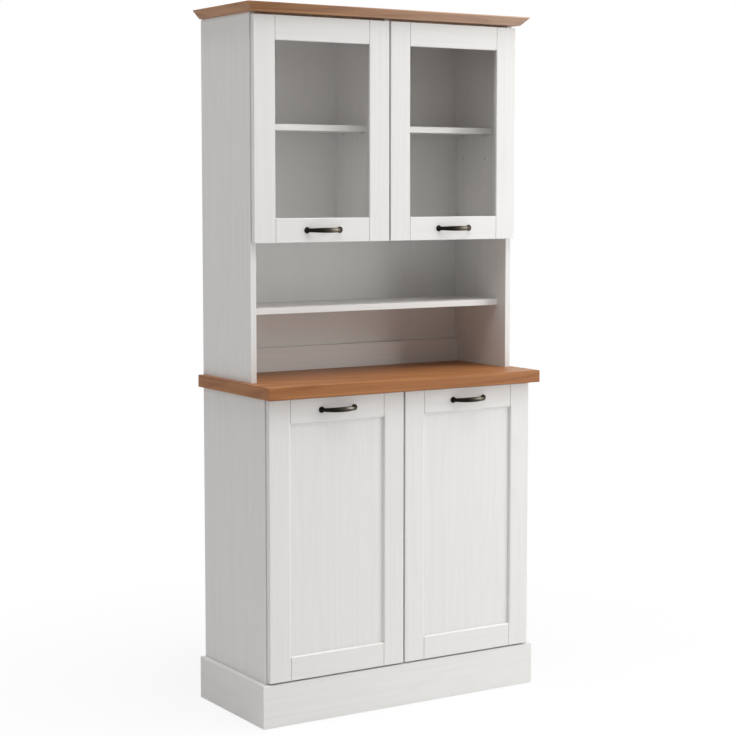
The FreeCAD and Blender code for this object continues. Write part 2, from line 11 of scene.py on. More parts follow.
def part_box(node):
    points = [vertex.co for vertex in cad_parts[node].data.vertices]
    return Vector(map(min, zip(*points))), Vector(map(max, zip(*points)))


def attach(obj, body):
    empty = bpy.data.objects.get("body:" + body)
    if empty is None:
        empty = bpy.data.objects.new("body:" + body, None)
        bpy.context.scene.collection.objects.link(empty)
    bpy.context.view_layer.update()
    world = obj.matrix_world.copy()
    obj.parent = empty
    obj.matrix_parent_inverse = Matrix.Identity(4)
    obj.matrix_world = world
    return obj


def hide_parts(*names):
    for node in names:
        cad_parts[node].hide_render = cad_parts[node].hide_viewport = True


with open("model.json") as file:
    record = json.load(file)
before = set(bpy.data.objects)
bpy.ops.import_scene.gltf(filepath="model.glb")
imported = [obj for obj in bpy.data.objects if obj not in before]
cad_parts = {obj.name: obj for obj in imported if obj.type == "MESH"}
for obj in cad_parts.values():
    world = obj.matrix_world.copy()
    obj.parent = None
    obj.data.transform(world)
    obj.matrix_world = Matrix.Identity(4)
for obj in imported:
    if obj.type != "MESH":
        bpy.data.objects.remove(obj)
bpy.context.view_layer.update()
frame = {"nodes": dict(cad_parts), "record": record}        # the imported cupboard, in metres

bl_info = {
    "name": "Step back cupboard",
    "version": (1, 0, 0),
    "blender": (4, 5, 0),
    "location": "3D View > Sidebar > Cupboard",
    "description": "Finishes a step back cupboard: eased boards, wood grain, glazing, handles and fittings",
    "category": "Object",
}

RECORD = frame["record"]
BODY_OF = {node: body for body, nodes in RECORD["behaviour"]["bodies"].items() for node in nodes}
SLOT_OF = {part["node"]: part["material_slot"] for part in RECORD["subparts"]}
PLINTH = ("plinth_front", "plinth_side_left", "plinth_side_right")
GLAZED_DOORS = ("upper_left", "upper_right")
DOORS = (*GLAZED_DOORS, "lower_left", "lower_right")
X, Y, Z = range(3)

# Attributes that the finishes read from the pieces.
GRAIN = "grain"
# Real rub on the handles' ridges together with their painted highlight.
RUB_AND_HIGHLIGHT = "rub"

# Vertices closer than this are one, and places that agree to these digits are one.
WELD = 1e-6
PLACE_DIGITS = 5
# Angles between two faces: below the first they are one flat face, from square to mitre their edge is
# eased, and below the last they are shaded as one.
FLAT_ANGLE = math.radians(0.5)
SQUARE_ANGLE = math.radians(50)
MITRE_ANGLE = math.radians(110)
SMOOTH_ANGLE = math.radians(40)
# A face looks along an axis when this share of its normal does.
FACING = 0.6
# Edges longer than this are eased, in so many segments.
LONG_EDGE = 0.02
ARRIS_SEGMENTS = 3
# How far the CAD's own rounding reaches from the face of a shoulder or a door's edge.
ROUND_REACH = 0.0012
# Most that a board's grain is shifted across, through and along, so that no two boards look alike.
GRAIN_SHIFT = (9, 9, 90)

# Profiles of turned fittings as shares of radius and height, and the steps of their turn.
PAD_PROFILE = ((0.0, 0.0), (1.0, 0.0), (1.0, 0.35), (0.94, 0.68), (0.74, 0.92), (0.42, 0.99), (0.0, 1.0))
PAD_STEPS = 32
CROWN_PROFILE = ((0.0, 1.0), (0.22, 0.99), (0.46, 0.95), (0.78, 0.76), (0.96, 0.40), (1.0, 0.0))
SCREW_STEPS = 16
# The cross recess of a screw: half an arm's width and its reach as shares of the radius, and the share of
# the head's height that it stays above.
ARM_WIDTH = 0.1
ARM_REACH = 0.5
CROWN_LEVEL = 0.9

# Noise in the wood: stretch across, through and along the grain, detail and roughness.
RING_FIELD = ((10.0, 10.0, 0.75), 1.5, 0.45)
STREAKS = ((150.0, 150.0, 1.6), 3.0, 0.6)
FIBRES = ((1500.0, 1500.0, 22.0), 2.0, 0.6)
# Depth of tone at both edges of a growth ring, and at places within it.
RING_EDGE = 0.30
RING_LEVELS = ((0.5, 0.12), (0.9, 1.0))
# Where the cornice's painted sheen starts and is strongest, from left to right, and how strong it gets.
SHEEN_START = -0.36
SHEEN_END = 0.4
SHEEN_MOST = 0.22
# The middle of the range of plain noise.
NOISE_LOW = 0.3
NOISE_HIGH = 0.7
# Sockets of a node that mixes colours.
MIX_FACTOR = 0
MIX_FIRST = 6
MIX_SECOND = 7
MIX_RESULT = 2
WHITE = (1.0, 1.0, 1.0, 1.0)


def box_of_handle():
    """Half the distance between the rosettes, how far the bow stands out, and the rosette's radius."""
    low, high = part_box("lower_left_handle")
    rosette = (high.z - low.z) / 2
    return (high.x - low.x) / 2 - rosette, high.y - low.y, rosette


HANDLE_HALF_SPAN, HANDLE_REACH, ROSETTE_RADIUS = box_of_handle()


def length(name, text, default):
    """A length that a user may change."""
    return FloatProperty(
        name=name,
        description=text,
        default=default,
        min=0.0,
        precision=PLACE_DIGITS,
        unit="LENGTH",
    )


def colour(name, text, default):
    """A colour that a user may change, in linear values."""
    return FloatVectorProperty(
        name=name,
        description=text,
        default=default,
        min=0.0,
        max=1.0,
        subtype="COLOR",
    )


def power(name, text, default):
    """A lamp's power that a user may change."""
    return FloatProperty(name=name, description=text, default=default, min=0.0, unit="POWER")


def angle(name, text, default):
    """An angle that a user may change, given in degrees."""
    return FloatProperty(name=name, description=text, default=math.radians(default), subtype="ANGLE")


class CupboardSizes(bpy.types.PropertyGroup):
    """Sizes of the eased edges and of the small fittings"""

    board_arris: length("Board arris", "Radius on the long edges of the boards", 0.0006)
    plinth_arris: length("Plinth arris", "Radius on the long edges of the plinth", 0.0020)
    joint_gap: length("Joint gap", "Width of the dark joints between rails and stiles", 0.0008)
    meeting_gap: length("Meeting gap", "How far the meeting edges of the doors are drawn back", 0.0007)
    door_arris: length("Door arris", "Radius on the edges of the stiles, rails and panels", 0.0011)
    metal_arris: length("Metal arris", "Radius on the edges of the hinge steel", 0.0003)
    bead_round: length("Bead round", "Radius on the free edge of the glazing beads", 0.0025)
    screw_head: length("Screw head", "Height of the screw heads", 0.0020)
    recess_depth: length("Recess depth", "Depth of the cross recess in the screw heads", 0.0010)
    clamp_radius: length("Clamp radius", "Radius of the clamp screws on the hinge arms", 0.0036)
    pin_grip: length("Pin grip", "Length of a shelf pin in its board", 0.0080)
    pin_collar: length("Pin collar", "How far a shelf pin's collar stands out", 0.0010)
    cam_rim: length("Cam rim", "Width of the rim on the cams", 0.0011)
    bar_thickness: length("Bar thickness", "Half the thickness of the handle's bar", 0.0030)
    bar_middle: length("Bar middle", "Half the height of the handle's bar in the middle", 0.0064)
    bar_end: length("Bar end", "Half the height of the handle's bar at its ends", 0.0046)
    bar_reeds: IntProperty(name="Reeds", description="Ridges along the handle's bar", default=8, min=3)
    reed_depth: FloatProperty(
        name="Reed depth",
        description="Depth of the ridges as a share of the bar",
        default=0.07,
        subtype="FACTOR",
    )


class CupboardColours(bpy.types.PropertyGroup):
    """Colours of the finishes"""

    pine_pale: colour("Pine, pale", "White-washed pine between its grain lines", (0.768, 0.758, 0.743))
    pine_deep: colour("Pine, deep", "White-washed pine in its grain lines", (0.71, 0.695, 0.675))
    board_pale: colour("Back, pale", "Back panels between their grain lines", (0.745, 0.735, 0.72))
    board_deep: colour("Back, deep", "Back panels in their grain lines", (0.705, 0.695, 0.68))
    brown_pale: colour("Brown wood, pale", "Worktop between its grain lines", (0.43, 0.185, 0.063))
    brown_deep: colour("Brown wood, deep", "Worktop in its grain lines", (0.20, 0.066, 0.019))
    cornice_pale: colour("Cornice, pale", "Cornice between its grain lines", (0.46, 0.225, 0.092))
    cornice_deep: colour("Cornice, deep", "Cornice in its grain lines", (0.20, 0.082, 0.030))
    # Painted sheen: the pale tone that the cornice's right end is painted towards, in place of a highlight.
    cornice_sheen: colour("Cornice, faded", "Tone that its right end lightens towards", (0.9, 0.8, 0.75))
    # Also the colour of the painted highlight on the handles' right ends.
    bronze_rub_and_highlight: colour("Bronze, rubbed", "Handles where they are rubbed", (0.75, 0.68, 0.55))
    bronze_dark: colour("Bronze, dark", "Handles where the patina stays", (0.009, 0.008, 0.006))
    bronze_edge: colour("Bronze, edge", "Tint of the handles' shine at a slant", (0.30, 0.29, 0.27))
    steel: colour("Hinge steel", "Nickel-plated hinges", (0.62, 0.60, 0.57))
    zinc: colour("Zinc", "Screws, cams and shelf pins", (0.66, 0.67, 0.69))
    dowel: colour("Dowel wood", "Beech dowels", (0.62, 0.42, 0.25))
    bead: colour("Bead", "Glazing beads", (0.80, 0.79, 0.77))
    glide: colour("Glide", "Floor glides", (0.035, 0.033, 0.032))
    bumper: colour("Bumper", "Soft pads behind the doors", (0.74, 0.74, 0.72))
    glass: colour("Glass", "Tint of the door glass", (0.905, 0.90, 0.892))


class CupboardStage(bpy.types.PropertyGroup):
    """Light, floor and camera"""

    side_power: power("Side", "Power of the soft box at the right", 70.0)
    top_power: power("Top", "Power of the soft box above", 377.0)
    left_power: power("Left", "Power of the soft box at the left", 26.3)
    sky: FloatProperty(name="Sky", description="Strength of the room's light", default=0.21)
    floor: colour("Floor", "Colour of the floor", (0.80, 0.80, 0.80))
    eye: FloatVectorProperty(
        name="Eye",
        description="Where the camera stands",
        default=(-2.5524, -4.0637, 1.3546),
        subtype="TRANSLATION",
    )
    turn: angle("Turn", "How far the camera turns right", 32.03)
    tilt: angle("Tilt", "How far the camera looks down", 5.0)
    lens: FloatProperty(name="Lens", description="Focal length", default=89.14, unit="CAMERA")
    shift: FloatProperty(name="Shift", description="Upright shift of the picture", default=-0.0313)


# Shapes


def whole_copy(node):
    """A CAD node's mesh, welded, with its flat faces whole."""
    bm = bmesh.new()
    bm.from_mesh(frame["nodes"][node].data)
    bmesh.ops.remove_doubles(bm, verts=bm.verts, dist=WELD)
    bmesh.ops.dissolve_limit(bm, angle_limit=FLAT_ANGLE, verts=bm.verts, edges=bm.edges)
    return bm


def solids(bm):
    """The separate solids of a mesh, as lists of vertices."""
    found = []
    seen = set()
    for start in bm.verts:
        if start in seen:
            continue
        seen.add(start)
        solid = [start]
        for vert in solid:
            for edge in vert.link_edges:
                other = edge.other_vert(vert)
                if other not in seen:
                    seen.add(other)
                    solid.append(other)
        found.append(solid)
    return found


def corners(verts):
    """The lowest and highest corner of some vertices."""
    low = Vector([min(vert.co[axis] for vert in verts) for axis in range(3)])
    high = Vector([max(vert.co[axis] for vert in verts) for axis in range(3)])
    return low, high


def ease(bm, radius, shortest=LONG_EDGE):
    """Round the long square edges of a mesh."""
    edges = [
        edge
        for edge in bm.edges
        if edge.is_manifold
        and edge.is_convex
        and edge.calc_length() > shortest
        and SQUARE_ANGLE < edge.calc_face_angle(0) < MITRE_ANGLE
    ]
    bmesh.ops.bevel(
        bm,
        geom=edges,
        offset=radius,
        offset_type="OFFSET",
        segments=ARRIS_SEGMENTS,
        profile=0.5,
        affect="EDGES",
        material=-1,
        clamp_overlap=True,
    )
    bmesh.ops.remove_doubles(bm, verts=bm.verts, dist=WELD)


def draw_back(bm, gap):
    """Draw the shoulders of tenoned rails back, so that a fine dark joint shows beside the stiles."""
    for verts in solids(bm):
        places = sorted({round(vert.co.x, PLACE_DIGITS) for vert in verts})
        for shoulder, way in ((places[1], 1.0), (places[-2], -1.0)):
            moved = [vert for vert in verts if -WELD < way * (vert.co.x - shoulder) < ROUND_REACH]
            bmesh.ops.translate(bm, verts=moved, vec=(way * gap, 0.0, 0.0))


def part_pair(bm, gap):
    """Draw the meeting edge of a door's stiles back from the other door of its pair."""
    way = 1.0 if sum(vert.co.x for vert in bm.verts) > 0 else -1.0
    edge = min(way * vert.co.x for vert in bm.verts)
    moved = [vert for vert in bm.verts if way * vert.co.x < edge + ROUND_REACH]
    bmesh.ops.translate(bm, verts=moved, vec=(way * gap, 0.0, 0.0))


def lay_grain(bm, node, lengthwise=None, wrapped=False):
    """Store at each face corner its place across, through and along the grain of its own board."""
    layer = bm.loops.layers.float_vector.new(GRAIN)
    for number, verts in enumerate(solids(bm)):
        chance = random.Random(f"{node} {number}")
        shift = Vector([chance.uniform(0, most) for most in GRAIN_SHIFT])
        low, high = corners(verts)
        thin, middle, long = sorted(range(3), key=lambda axis: high[axis] - low[axis])
        if lengthwise is not None and lengthwise != long:
            middle, long = long, lengthwise
        for face in {face for vert in verts for face in vert.link_faces}:
            axes = (middle, thin, long)
            if wrapped and abs(face.normal.x) > FACING:
                axes = (Z, X, Y)
            for loop in face.loops:
                loop[layer] = Vector([loop.vert.co[axis] for axis in axes]) + shift


def new_object(bm, name, material):
    """An object with a finished mesh and its material."""
    mesh = bpy.data.meshes.new(name)
    bm.to_mesh(mesh)
    bm.free()
    mesh.materials.append(material)
    made = bpy.data.objects.new(name, mesh)
    bpy.context.collection.objects.link(made)
    return made


def show(bm, name, node, material, instead=True):
    """Make a finished piece that rides with a CAD node, and stands for it unless told otherwise."""
    for face in bm.faces:
        face.smooth = True
    for edge in bm.edges:
        edge.smooth = edge.is_manifold and edge.calc_face_angle(0) < SMOOTH_ANGLE
    piece = new_object(bm, name, material)
    layers = piece.data.attributes
    if "custom_normal" in layers:
        layers.remove(layers["custom_normal"])
    even = piece.modifiers.new("Even normals", "WEIGHTED_NORMAL")
    even.keep_sharp = True
    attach(piece, BODY_OF[node])
    if instead:
        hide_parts(node)


def finish_node(node, material):
    """Give a CAD node that stays as it is its finish."""
    mesh = frame["nodes"][node].data
    mesh.materials.clear()
    mesh.materials.append(material)


def loop_of(bm, matrix, segments):
    """A closed loop of edges, a unit circle laid by a matrix."""
    verts = bmesh.ops.create_circle(bm, segments=segments, radius=1.0, matrix=matrix)["verts"]
    return verts, list({edge for vert in verts for edge in vert.link_edges})


def sweep(bm, loops):
    """Bridge loops in a row and close both ends."""
    for first, second in zip(loops, loops[1:]):
        bmesh.ops.bridge_loops(bm, edges=first[1] + second[1])
    bmesh.ops.contextual_create(bm, geom=loops[0][1])
    bmesh.ops.contextual_create(bm, geom=loops[-1][1])
    bmesh.ops.recalc_face_normals(bm, faces=bm.faces)


def placed(right, up, ahead, at):
    """A matrix with these columns."""
    matrix = Matrix((right, up, ahead)).transposed().to_4x4()
    matrix.translation = at
    return matrix


def standing(at, ahead):
    """A matrix at a point whose Z axis looks ahead."""
    matrix = ahead.to_track_quat("Z", "Y").to_matrix().to_4x4()
    matrix.translation = at
    return matrix


def turned(bm, profile, matrix, steps):
    """Turn a profile of (radius, height) points about a matrix's Z axis, and return its vertices."""
    verts = [bm.verts.new(matrix @ Vector((radius, 0.0, height))) for radius, height in profile]
    edges = [bm.edges.new(pair) for pair in zip(verts, verts[1:])]
    before = set(bm.verts) - set(verts)
    bmesh.ops.spin(
        bm,
        geom=verts + edges,
        cent=matrix.translation,
        axis=matrix.col[2].xyz.normalized(),
        angle=math.tau,
        steps=steps,
        use_merge=True,
    )
    new = [vert for vert in bm.verts if vert not in before]
    bmesh.ops.remove_doubles(bm, verts=new, dist=WELD)
    new = [vert for vert in bm.verts if vert not in before]
    bmesh.ops.recalc_face_normals(bm, faces=list({face for vert in new for face in vert.link_faces}))
    return new


def domed_pad(bm, at, ahead, radius, height):
    """A low round pad with a domed face, turned on the axis that looks ahead."""
    profile = [(radius * out, height * up) for out, up in PAD_PROFILE]
    turned(bm, profile, standing(at, ahead), PAD_STEPS)


def screw_head(bm, at, ahead, radius, height, recess, shank=((0.0, 0.0),)):
    """A domed head with a cross recess, its seat at a point, closed there or by a shank below it."""
    matrix = standing(at, ahead)
    profile = [(radius * out, height * up) for out, up in CROWN_PROFILE] + list(shank)
    back = matrix.inverted()
    for vert in turned(bm, profile, matrix, SCREW_STEPS):
        place = back @ vert.co
        out = math.hypot(place.x, place.y) / radius
        on_arm = min(abs(place.x), abs(place.y)) < ARM_WIDTH * radius * out + WELD
        if place.z > CROWN_LEVEL * height and out < ARM_REACH and on_arm:
            vert.co = matrix @ (place - Vector((0.0, 0.0, recess * (1.0 - out))))


# Finishes


def add(tree, kind, inputs=None, **settings):
    """Add a node, set its options, and set or link its inputs."""
    node = tree.nodes.new(kind)
    for key, value in settings.items():
        setattr(node, key, value)
    for key, value in (inputs or {}).items():
        if isinstance(value, bpy.types.NodeSocket):
            tree.links.new(value, node.inputs[key])
        else:
            node.inputs[key].default_value = value
    return node


def start(name):
    """A new material and its empty node tree."""
    material = bpy.data.materials.new(name)
    material.use_nodes = True
    material.node_tree.nodes.clear()
    return material, material.node_tree


def surface(tree, inputs):
    """A Principled surface on the material's output."""
    shader = add(tree, "ShaderNodeBsdfPrincipled", inputs)
    add(tree, "ShaderNodeOutputMaterial", {"Surface": shader.outputs[0]})


def object_place(tree):
    """The place on a piece, in metres."""
    return add(tree, "ShaderNodeTexCoord").outputs["Object"]


def attribute(tree, name):
    """The node that reads an attribute of the piece."""
    return add(tree, "ShaderNodeAttribute", attribute_name=name)


def grey(level):
    """A grey for a colour socket."""
    return (level, level, level, 1.0)


def darker(shade, share):
    """A share of a colour."""
    return [share * part for part in shade]


def maths(tree, operation, first, second):
    """A sum, product or the like of two values."""
    return add(tree, "ShaderNodeMath", {0: first, 1: second}, operation=operation).outputs[0]


def between(tree, factor, low, high):
    """A value from low to high as the factor goes from 0 to 1."""
    return add(tree, "ShaderNodeMapRange", {"Value": factor, "To Min": low, "To Max": high}).outputs[0]


def blend(tree, factor, first, second):
    """A colour between a first one, which may come from a node, and a second."""
    if not isinstance(first, bpy.types.NodeSocket):
        first = (*first, 1.0)
    inputs = {MIX_FACTOR: factor, MIX_FIRST: first, MIX_SECOND: (*second, 1.0)}
    return add(tree, "ShaderNodeMix", inputs, data_type="RGBA").outputs[MIX_RESULT]


def noise(tree, vector, stretch, detail=2.0, roughness=0.5):
    """Noise on a stretched vector."""
    stretched = add(tree, "ShaderNodeVectorMath", {0: vector, 1: stretch}, operation="MULTIPLY")
    inputs = {"Vector": stretched.outputs[0], "Scale": 1.0, "Detail": detail, "Roughness": roughness}
    return add(tree, "ShaderNodeTexNoise", inputs).outputs[0]


def even_noise(tree, vector, scale, detail=2.0, roughness=0.5):
    """Noise that is as fine one way as another."""
    return noise(tree, vector, (scale, scale, scale), detail, roughness)


def clearer(tree, value):
    """Noise with its middle range spread from 0 to 1."""
    inputs = {"Value": value, "From Min": NOISE_LOW, "From Max": NOISE_HIGH}
    return add(tree, "ShaderNodeMapRange", inputs).outputs[0]


def relief(tree, height, distance, strength):
    """A bump of some height."""
    inputs = {"Height": height, "Distance": distance, "Strength": strength}
    return add(tree, "ShaderNodeBump", inputs).outputs[0]


def wood(name, pale, deep, rings, shares, gloss, depth, shine=0.5, painted_sheen=None):
    """Wood with growth lines, streaks and fine fibres along the grain that each board stores.

    The shares are those of lines, streaks and fibres in the tone. The gloss is the roughness of the pale
    and of the deep wood.
    """
    material, tree = start(name)
    grain = attribute(tree, GRAIN).outputs["Vector"]
    field = noise(tree, grain, *RING_FIELD)
    turns = maths(tree, "FRACT", maths(tree, "MULTIPLY", field, rings), 0.0)
    line = add(tree, "ShaderNodeValToRGB", {0: turns})
    stops = line.color_ramp.elements
    for stop in stops:
        stop.color = grey(RING_EDGE)
    for place, level in RING_LEVELS:
        stops.new(place).color = grey(level)
    streak = clearer(tree, noise(tree, grain, *STREAKS))
    fibre = clearer(tree, noise(tree, grain, *FIBRES))
    tone = maths(tree, "MULTIPLY", line.outputs[0], shares[0])
    tone = maths(tree, "ADD", tone, maths(tree, "MULTIPLY", streak, shares[1]))
    tone = maths(tree, "ADD", tone, maths(tree, "MULTIPLY", fibre, shares[2]))
    stain = blend(tree, tone, pale, deep)
    # Painted sheen: the stain is blended towards a pale tone from left to right across the piece.
    if painted_sheen:
        across = add(tree, "ShaderNodeSeparateXYZ", {0: object_place(tree)}).outputs["X"]
        inputs = {"Value": across, "From Min": SHEEN_START, "From Max": SHEEN_END, "To Max": SHEEN_MOST}
        stain = blend(tree, add(tree, "ShaderNodeMapRange", inputs).outputs[0], stain, painted_sheen)
    surface(
        tree,
        {
            "Base Color": stain,
            "Roughness": between(tree, tone, *gloss),
            "Specular IOR Level": shine,
            "Normal": relief(tree, tone, distance=depth, strength=0.35),
        },
    )
    return material


def metal(name, shade, gloss, scale):
    """Plated metal, faintly mottled and brushed upright."""
    brush_scale = 12 * scale
    dark_share = 0.8
    material, tree = start(name)
    place = object_place(tree)
    cloud = even_noise(tree, place, scale, detail=3.0)
    brush = noise(tree, place, (brush_scale, brush_scale, scale), detail=1.0)
    surface(
        tree,
        {
            "Base Color": blend(tree, cloud, darker(shade, dark_share), shade),
            "Metallic": 1.0,
            "Roughness": between(tree, cloud, *gloss),
            "Normal": relief(tree, brush, distance=0.0001, strength=0.12),
        },
    )
    return material


def bronze(name, rubbed, dark, edge):
    """Antique bronze, dark in the hollows, rubbed on the ridges and lighter where a highlight is painted.
    """
    patina_scale = 420.0
    grit_scale = 2600.0
    gloss = (0.32, 0.20)
    material, tree = start(name)
    place = object_place(tree)
    patina = even_noise(tree, place, patina_scale, detail=4.0, roughness=0.6)
    # The stored rub holds real wear and the painted highlight; both mix the colour towards the rubbed tone.
    wear_and_highlight = maths(tree, "MULTIPLY", attribute(tree, RUB_AND_HIGHLIGHT).outputs["Fac"], patina)
    grit = even_noise(tree, place, grit_scale)
    surface(
        tree,
        {
            "Base Color": blend(tree, wear_and_highlight, dark, rubbed),
            "Metallic": 1.0,
            "Specular Tint": (*edge, 1.0),
            "Roughness": between(tree, wear_and_highlight, *gloss),
            "Normal": relief(tree, grit, distance=0.0002, strength=0.15),
        },
    )
    return material


def plastic(name, shade, rough, soft=0.0):
    """Moulded plastic with a fine grained skin, which lets a soft share of the light through."""
    skin_scale = 1800.0
    cloud_scale = 60.0
    dark_share = 0.9
    spread = 0.06
    material, tree = start(name)
    place = object_place(tree)
    skin = even_noise(tree, place, skin_scale)
    cloud = even_noise(tree, place, cloud_scale)
    surface(
        tree,
        {
            "Base Color": blend(tree, cloud, darker(shade, dark_share), shade),
            "Roughness": between(tree, skin, rough - spread, rough + spread),
            "Normal": relief(tree, skin, distance=0.0001, strength=0.2),
            "Transmission Weight": soft,
        },
    )
    return material


def clear_glass(name, tint):
    """Float glass, faintly smeared, that lets the lamps through, less so the more they graze it."""
    smear_stretch = (9.0, 9.0, 4.0)
    smear_rough = 0.03
    clear_share = 0.96
    mirror_power = 5.0
    material, tree = start(name)
    smear = noise(tree, object_place(tree), smear_stretch, detail=4.0, roughness=0.6)
    pane = add(
        tree,
        "ShaderNodeBsdfPrincipled",
        {
            "Base Color": (*tint, 1.0),
            "Transmission Weight": 1.0,
            "IOR": 1.5,
            "Roughness": between(tree, smear, 0.0, smear_rough),
        },
    )
    open_pane = add(tree, "ShaderNodeBsdfTransparent", {"Color": (*tint, 1.0)})
    slant = add(tree, "ShaderNodeLayerWeight", {"Blend": 0.5}).outputs["Facing"]
    mirrored = maths(tree, "POWER", slant, mirror_power)
    lamp = add(tree, "ShaderNodeLightPath").outputs["Is Shadow Ray"]
    through = maths(tree, "MULTIPLY", lamp, between(tree, mirrored, clear_share, 0.0))
    mixed = add(tree, "ShaderNodeMixShader", {0: through, 1: pane.outputs[0], 2: open_pane.outputs[0]})
    add(tree, "ShaderNodeOutputMaterial", {"Surface": mixed.outputs[0]})
    return material


def finish(name):
    """A finish by its name, made when it is first asked for."""
    if name in bpy.data.materials:
        return bpy.data.materials[name]
    shades = bpy.context.scene.cupboard_colours
    brown = {"rings": 12.0, "shares": (0.35, 0.45, 0.25), "gloss": (0.36, 0.52), "depth": 0.0002}
    makers = {
        "pine": lambda: wood(
            name,
            shades.pine_pale,
            shades.pine_deep,
            rings=13.0,
            shares=(0.30, 0.42, 0.28),
            gloss=(0.42, 0.60),
            depth=0.0002,
        ),
        "back_board": lambda: wood(
            name,
            shades.board_pale,
            shades.board_deep,
            rings=9.0,
            shares=(0.25, 0.45, 0.30),
            gloss=(0.50, 0.62),
            depth=0.0001,
        ),
        "brown": lambda: wood(name, shades.brown_pale, shades.brown_deep, shine=0.25, **brown),
        "brown_cornice": lambda: wood(
            name,
            shades.cornice_pale,
            shades.cornice_deep,
            shine=0.3,
            # The cornice is painted paler towards its right end, a painted sheen.
            painted_sheen=shades.cornice_sheen,
            **brown,
        ),
        "beech": lambda: wood(
            name,
            shades.dowel,
            darker(shades.dowel, share=0.8),
            rings=6.0,
            shares=(0.2, 0.4, 0.4),
            gloss=(0.5, 0.65),
            depth=0.0001,
        ),
        "bronze": lambda: bronze(name, shades.bronze_rub_and_highlight, shades.bronze_dark, shades.bronze_edge),
        "steel": lambda: metal(name, shades.steel, gloss=(0.22, 0.34), scale=160.0),
        "zinc": lambda: metal(name, shades.zinc, gloss=(0.28, 0.44), scale=300.0),
        "bead": lambda: plastic(name, shades.bead, rough=0.45),
        "glide": lambda: plastic(name, shades.glide, rough=0.5),
        "bumper": lambda: plastic(name, shades.bumper, rough=0.35, soft=0.35),
        "door_glass": lambda: clear_glass(name, shades.glass),
    }
    return makers[name]()


# Operators


class CUPBOARD_OT_boards(bpy.types.Operator):
    """Ease the boards of the carcass and lay their grain"""

    bl_idname = "cupboard.boards"
    bl_label = "Carcass boards"
    bl_options = {"REGISTER", "UNDO"}

    def execute(self, context):
        sizes = context.scene.cupboard_sizes
        for node, slot in SLOT_OF.items():
            if BODY_OF[node] != "carcass" or slot not in ("white_pine", "white_board"):
                continue
            bm = whole_copy(node)
            ease(bm, sizes.plinth_arris if node in PLINTH else sizes.board_arris)
            lay_grain(bm, node, Z if slot == "white_board" else None)
            show(bm, f"eased_{node}", node, finish("pine" if slot == "white_pine" else "back_board"))
        return {"FINISHED"}


class CUPBOARD_OT_tops(bpy.types.Operator):
    """Finish the worktop and the cornice in brown wood"""

    bl_idname = "cupboard.tops"
    bl_label = "Worktop and cornice"
    bl_options = {"REGISTER", "UNDO"}

    def execute(self, context):
        sizes = context.scene.cupboard_sizes
        for node, wood_finish in (("worktop", "brown"), ("cornice", "brown_cornice")):
            bm = whole_copy(node)
            ease(bm, sizes.board_arris)
            lay_grain(bm, node, X, wrapped=True)
            show(bm, f"brown_{node}", node, finish(wood_finish))
        return {"FINISHED"}


class CUPBOARD_OT_doors(bpy.types.Operator):
    """Ease the stiles, rails and panels of the doors and lay their grain"""

    bl_idname = "cupboard.doors"
    bl_label = "Door frames and panels"
    bl_options = {"REGISTER", "UNDO"}

    def execute(self, context):
        sizes = context.scene.cupboard_sizes
        for door in DOORS:
            for part in ("stiles", "rails", "panel"):
                node = f"{door}_{part}"
                if node not in frame["nodes"]:
                    continue
                bm = whole_copy(node)
                if part == "rails":
                    draw_back(bm, sizes.joint_gap)
                elif part == "stiles":
                    part_pair(bm, sizes.meeting_gap)
                ease(bm, sizes.door_arris)
                lay_grain(bm, node)
                show(bm, f"eased_{node}", node, finish("pine"))
        return {"FINISHED"}


class CUPBOARD_OT_glazing(bpy.types.Operator):
    """Glaze the upper doors and mitre a rounded bead behind each pane"""

    bl_idname = "cupboard.glazing"
    bl_label = "Glass and beads"
    bl_options = {"REGISTER", "UNDO"}

    round_segments = 5

    def bead(self, node, radius):
        """A frame of bead, mitred at the corners, with its free edge rounded."""
        places = [vert.co for vert in frame["nodes"][node].data.vertices]
        low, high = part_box(node)
        width = min(place.x for place in places if place.x > low.x + WELD) - low.x
        bm = bmesh.new()
        size = high - low
        matrix = Matrix.Translation((low + high) / 2) @ Matrix.Diagonal((*size, 1.0))
        bmesh.ops.create_cube(bm, size=1.0, matrix=matrix)
        ends = [face for face in bm.faces if abs(face.normal.y) > FACING]
        bmesh.ops.inset_individual(bm, faces=ends, thickness=width, use_even_offset=True)
        sides = [edge for face in ends for edge in face.edges]
        bmesh.ops.delete(bm, geom=ends, context="FACES_ONLY")
        bmesh.ops.bridge_loops(bm, edges=sides)
        bmesh.ops.recalc_face_normals(bm, faces=bm.faces)
        free = [edge for edge in sides if min(vert.co.y for vert in edge.verts) > high.y - WELD]
        bmesh.ops.bevel(
            bm,
            geom=free,
            offset=radius,
            segments=self.round_segments,
            profile=0.5,
            affect="EDGES",
            material=-1,
            clamp_overlap=True,
        )
        return bm

    def execute(self, context):
        sizes = context.scene.cupboard_sizes
        for door in GLAZED_DOORS:
            finish_node(f"{door}_glass", finish("door_glass"))
            node = f"{door}_glazing_beads"
            show(self.bead(node, sizes.bead_round), f"mitred_{node}", node, finish("bead"))
        return {"FINISHED"}


